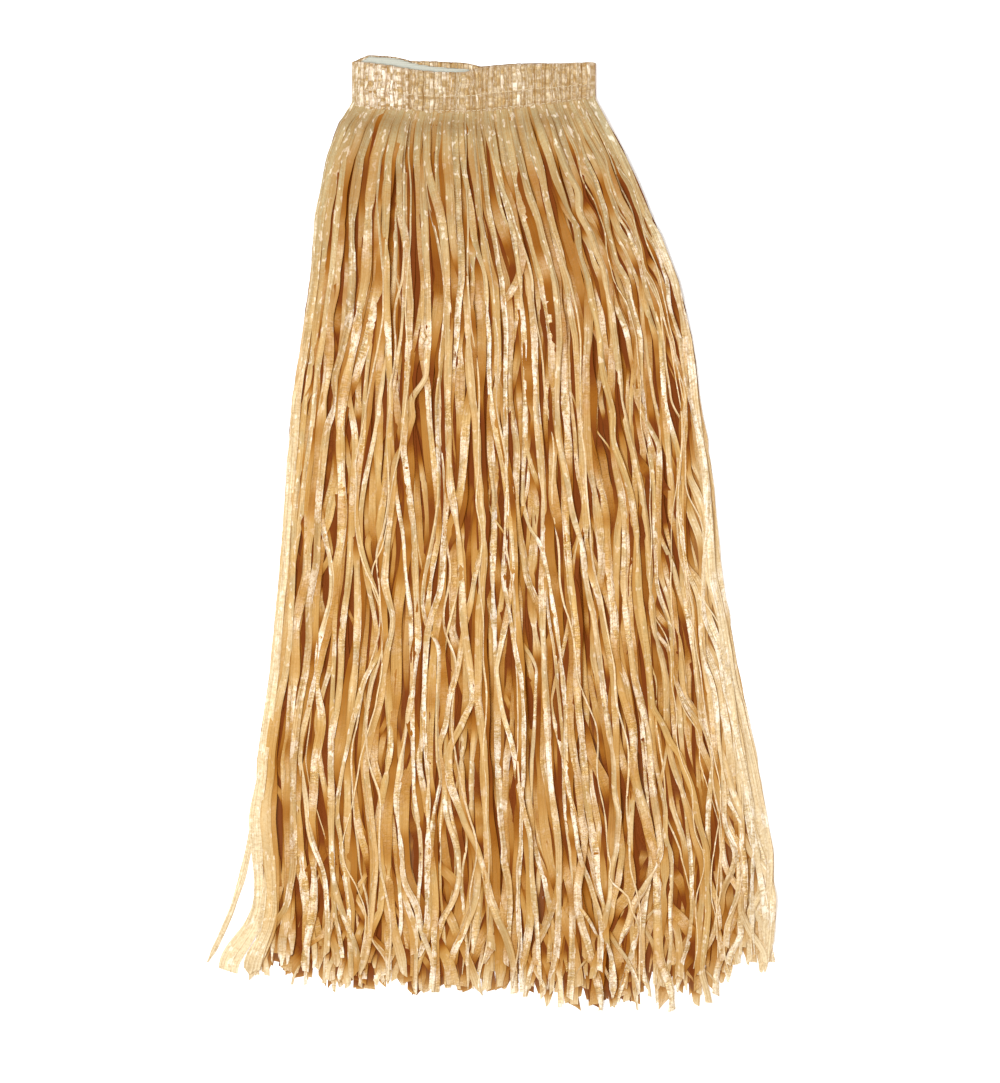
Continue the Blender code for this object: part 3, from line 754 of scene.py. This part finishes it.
def lay_strand(rng, order, cut, layer, level):
    """Lays a strand on the pile, and raises the pile where it lies."""
    rows, down, x = strand_course(rng, cut, layer.loose)
    half = strand_width(rng, cut, down)
    freed = smooth((down - down[0]) / 0.020)
    twist = layer.lean * (rng.normal() + waver(rng, down, 0.05, 0.25)) * freed
    crinkle = smooth(0.28 + 0.26 * order + rng.normal(0.0, 0.35) + 0.55 * waver(rng, down, 0.03, 0.18))
    crinkle = crinkle * (0.15 + 0.85 * smooth((down - 0.05) / 0.20))
    if cut.stray or cut.flare or cut.width < 0.0020:
        crinkle = 0.3 * crinkle
    steps = np.arange(-REACH, REACH + 1)
    columns = np.round((x[:, None] - PILE_LEFT) / CELL).astype(int) + steps
    offsets = steps * CELL
    covered = np.abs(offsets)[None, :] <= np.maximum(half, CELL / 2)[:, None]
    lean = np.tan(twist)[:, None] * offsets
    under = pile_top[rows[:, None], columns] - lean
    highest = np.where(covered, under, -1.0).max(1)
    average = np.where(covered, under, 0.0).sum(1) / covered.sum(1)
    rest = layer.pressed * average + (1.0 - layer.pressed) * highest
    carried = softened(highest_near(rest, 3), 4) + 0.6 * FILM
    z = np.maximum(carried, layer_foot(0.0004, x, down, level) + 0.0003 * waver(rng, down, 0.1, 0.3))
    root_height = layer.root_z - 0.0004 + 0.0012 * order
    z = root_height + (z - root_height) * smooth((down - down[0] - TUCKED) / 0.020)
    z = np.maximum(z, 0.0003 + np.abs(np.sin(twist)) * half)
    surface = (z[:, None] + lean + 0.5 * FILM)[covered]
    spots = (np.broadcast_to(rows[:, None], covered.shape)[covered], columns[covered])
    beside = columns[:, REACH - BESIDE : REACH + BESIDE + 1]
    under = pile_count[rows[:, None], beside].mean(1)
    np.maximum.at(pile_top, spots, surface)
    np.add.at(pile_count, spots, 1.0)
    return Strand(down, x, z, half, twist, crinkle, under, rows, beside)


def lay_layer(layer, level):
    """All the strands of one layer, laid in a shuffled order, and its thin wisps last."""
    rng = np.random.default_rng(layer.seed)
    cuts = []
    for i in rng.permutation(layer.strands):
        share = (i + rng.random()) / layer.strands
        width = np.clip(rng.lognormal(math.log(layer.width), 0.38), 0.0021, 0.0092)
        near_edge = min(share, 1.0 - share) < 0.02
        cuts.append(Cut(share, width, 0.35 if near_edge else 0.5 + 0.5 * layer.loose, 0.0, 0.0))
    if layer.name == "front_middle":
        cuts.append(STRAY_TAPE)
    if layer.name == "front_outer":
        cuts = cuts[COVERING:]
        for i in rng.permutation(COVERING):
            share = (i + rng.uniform(0.2, 0.8)) / COVERING
            cuts.append(Cut(share, rng.uniform(0.0034, 0.0072), 0.9, 0.0, 0.0))
        cuts.extend(WIDE_TAPES)
    for _ in range(layer.wisps):
        cuts.append(Cut(rng.uniform(0.02, 0.98), rng.uniform(0.0010, 0.0019), 1.15, 0.0, 0.0))
    order = np.linspace(0.0, 1.0, len(cuts))
    return [lay_strand(rng, place, cut, layer, level) for place, cut in zip(order, cuts)]


def tape_tree(paint):
    """Geometry nodes that sweep a creased tape along every strand's line."""
    tree = bpy.data.node_groups.new("raffia_tape", "GeometryNodeTree")
    sockets = (("Strands", "Geometry", "INPUT"), ("Thickness", "Float", "INPUT"))
    sockets += (("Crease", "Float", "INPUT"), ("Tape", "Geometry", "OUTPUT"))
    for name, kind, way in sockets:
        tree.interface.new_socket(name=name, in_out=way, socket_type="NodeSocket" + kind)
    entry = tree.nodes.new("NodeGroupInput")
    lines, thickness, crease = (Wire(tree, entry.outputs[i]) for i in range(3))

    def add(kind, inputs, output=0, **settings):
        return node(tree, kind, settings, inputs, output)

    def attribute(named, kind="FLOAT"):
        return add("GeometryNodeInputNamedAttribute", {"Name": named}, data_type=kind)

    def stored(geometry, named, value, kind="FLOAT"):
        inputs = {"Geometry": geometry, "Name": named, "Value": value}
        return add("GeometryNodeStoreNamedAttribute", inputs, data_type=kind, domain="POINT")

    def vector(operation, first, second):
        key = 3 if operation == "SCALE" else 1
        return add("ShaderNodeVectorMath", {0: first, key: second}, operation=operation)

    curves = add("GeometryNodeMeshToCurve", {"Mesh": lines})
    curves = add("GeometryNodeSetCurveNormal", {"Curve": curves}, mode="Z_UP")
    curves = add("GeometryNodeSetCurveTilt", {"Curve": curves, "Tilt": attribute("twist")})
    normal, tangent = add("GeometryNodeInputNormal", {}), add("GeometryNodeInputTangent", {})
    curves = stored(curves, "side", normal, "FLOAT_VECTOR")
    curves = stored(curves, "way", tangent, "FLOAT_VECTOR")
    curves = stored(curves, "up", vector("CROSS_PRODUCT", tangent, normal), "FLOAT_VECTOR")
    section = add("GeometryNodeCurvePrimitiveCircle", {"Resolution": 4, "Radius": 1.0}, mode="RADIUS")
    spot = add("GeometryNodeInputPosition", {})
    across = add("ShaderNodeSeparateXYZ", {"Vector": spot})
    section = stored(section, "across", across)
    section = stored(section, "face", add("ShaderNodeSeparateXYZ", {"Vector": spot}, output=1))
    flat = vector("MULTIPLY", spot, (1.0, 0.0, 0.0))
    section = add("GeometryNodeSetPosition", {"Geometry": section, "Position": flat})
    sweep = {"Curve": curves, "Profile Curve": section, "Scale": attribute("half"), "Fill Caps": True}
    tape = add("GeometryNodeCurveToMesh", sweep)
    across, face, half = attribute("across"), attribute("face"), attribute("half")
    lift = face * thickness * 0.5 + half * crease * attribute("fold") * (0.5 - abs(across))
    shift = half * attribute("crease_at") * (1.0 - abs(across))
    cut = half * attribute("slant") * across
    offset = vector("SCALE", attribute("up", "FLOAT_VECTOR"), lift)
    offset = vector("ADD", offset, vector("SCALE", attribute("side", "FLOAT_VECTOR"), shift))
    offset = vector("ADD", offset, vector("SCALE", attribute("way", "FLOAT_VECTOR"), cut))
    tape = add("GeometryNodeSetPosition", {"Geometry": tape, "Offset": offset})
    upper = add("ShaderNodeMath", {0: face, 1: 0.1}, operation="GREATER_THAN")
    tape = add("GeometryNodeTriangulate", {"Mesh": tape, "Selection": upper}, quad_method="FIXED")
    tape = add("GeometryNodeTriangulate", {"Mesh": tape}, quad_method="FIXED_ALTERNATE")
    edge = add("ShaderNodeMath", {0: abs(abs(across) - 0.5), 1: 0.4}, operation="GREATER_THAN")
    tape = add("GeometryNodeSetShadeSmooth", {0: tape, 2: True}, domain="FACE")
    tape = add("GeometryNodeSetShadeSmooth", {0: tape, 1: edge, 2: False}, domain="EDGE")
    tape = add("GeometryNodeRealizeInstances", {"Geometry": tape})
    tape = add("GeometryNodeSetMaterial", {"Geometry": tape, "Material": paint})
    leave = tree.nodes.new("NodeGroupOutput")
    tree.links.new(tape.socket, leave.inputs["Tape"])
    return tree


tape_maker = tape_tree(raffia_strands)


def strand_lines(name, strands, points_each, rng):
    """The strands' middle lines as one mesh of edges, with what the tape maker reads on them."""
    points, edges, values = [], [], {}
    for order, strand in enumerate(strands):
        down = np.linspace(strand.down[0], strand.down[-1], points_each)
        pile = pile_count[strand.rows[:, None], strand.columns].mean(1)
        over, under, pile = (softened(each, 3.0) for each in (pile - strand.under, strand.under, pile))
        found = (strand.x, strand.z, strand.half, strand.twist, strand.crinkle, over, under, pile)
        x, z, half, twist, crinkle, over, under, pile = (np.interp(down, strand.down, e) for e in found)
        left = np.interp(down, column(SIDES, "down"), column(SIDES, "left"))
        right = np.interp(down, column(SIDES, "down"), column(SIDES, "right"))
        thinning = 0.012 + 0.048 * smooth((down - 0.20) / 0.30)
        inner = smooth(np.minimum((x - left) / (0.010 + 0.25 * thinning), (right - x) / thinning))
        # hidden: how much painted shade a strand gets from the strands over it, less near the sides,
        # just below the band and at the hem.
        hidden = (0.10 + 0.90 * inner) * (0.30 + 0.70 * smooth((down - 0.042) / 0.060))
        hidden = hidden * (1.0 - 0.25 * smooth((down - 0.64) / 0.08))
        jitter = rng.normal(0.0, 1.0, points_each) * (down > down[0] + 0.01)
        free = 1.0 - 0.85 * smooth(over / 1.3)
        z = z + 0.00028 * jitter * (0.3 + crinkle) * np.minimum(1.0, half / 0.002) * free
        fold = rng.normal(0.0, 0.6) + 0.8 * waver(rng, down, 0.03, 0.20)
        slant = np.zeros(points_each)
        slant[-1] = rng.normal(0.0, 0.8)
        points.append(np.stack([x, TOP_Y - down, np.maximum(z, 0.0003)], -1))
        links = np.arange(points_each - 1) + order * points_each
        edges.append(np.stack([links, links + 1], -1))
        each = {
            "half": half,
            "twist": twist * (0.3 + 0.7 * free),
            "along": down,
            "strand": np.full(points_each, rng.random()),
            "crinkle": crinkle,
            "fold": np.clip(fold, -1.0, 1.0) * np.minimum(1.0, 0.0028 / half) * free,
            "crease_at": np.full(points_each, rng.uniform(-0.5, 0.5)),
            "slant": slant,
            "pile": pile * inner,
            "over": (over - 0.42) * 1.22 * hidden,
            "under": under * hidden,
        }
        for key, numbers in each.items():
            values.setdefault(key, []).append(numbers)
    mesh = bpy.data.meshes.new(name + "_lines")
    mesh.from_pydata(np.concatenate(points).tolist(), np.concatenate(edges).tolist(), [])
    for key, lists in values.items():
        layer = mesh.attributes.new(key, "FLOAT", "POINT")
        layer.data.foreach_set("value", np.concatenate(lists).astype(np.float32))
    lines = bpy.data.objects.new(name + "_lines", mesh)
    bpy.context.scene.collection.objects.link(lines)
    return lines


def settle(mesh):
    """Keeps a piece off the floor, and gives each face how many strands hide it from its own side."""
    points = np.empty(3 * len(mesh.vertices), np.float32)
    mesh.vertices.foreach_get("co", points)
    points[2::3] = above_floor(points[2::3])
    mesh.vertices.foreach_set("co", points)
    mesh.update()
    corners = np.empty(len(mesh.loops), np.int32)
    mesh.loops.foreach_get("vertex_index", corners)
    normals = np.empty(3 * len(mesh.polygons), np.float32)
    mesh.polygons.foreach_get("normal", normals)
    sizes = np.empty(len(mesh.polygons), np.int32)
    mesh.polygons.foreach_get("loop_total", sizes)
    upward = np.repeat(normals[2::3] > 0.0, sizes)
    over, under = (np.empty(len(mesh.vertices), np.float32) for _ in range(2))
    mesh.attributes["over"].data.foreach_get("value", over)
    mesh.attributes["under"].data.foreach_get("value", under)
    sunk = mesh.attributes.new("sunk", "FLOAT", "CORNER")
    sunk.data.foreach_set("value", np.where(upward, over[corners], under[corners]).astype(np.float32))


laid = [lay_layer(layer, level) for level, layer in enumerate(LAYERS)]
for layer, strands in zip(LAYERS, laid):
    rng = np.random.default_rng(layer.seed + 1000)
    lines = strand_lines(layer.name, strands, layer.points, rng)
    sizes = {"Thickness": FILM, "Crease": layer.crease}
    piece = grown_mesh(lines, tape_maker, sizes, "strands_" + layer.name)
    settle(piece.data)
    placed(piece, ["fringe_" + layer.name])
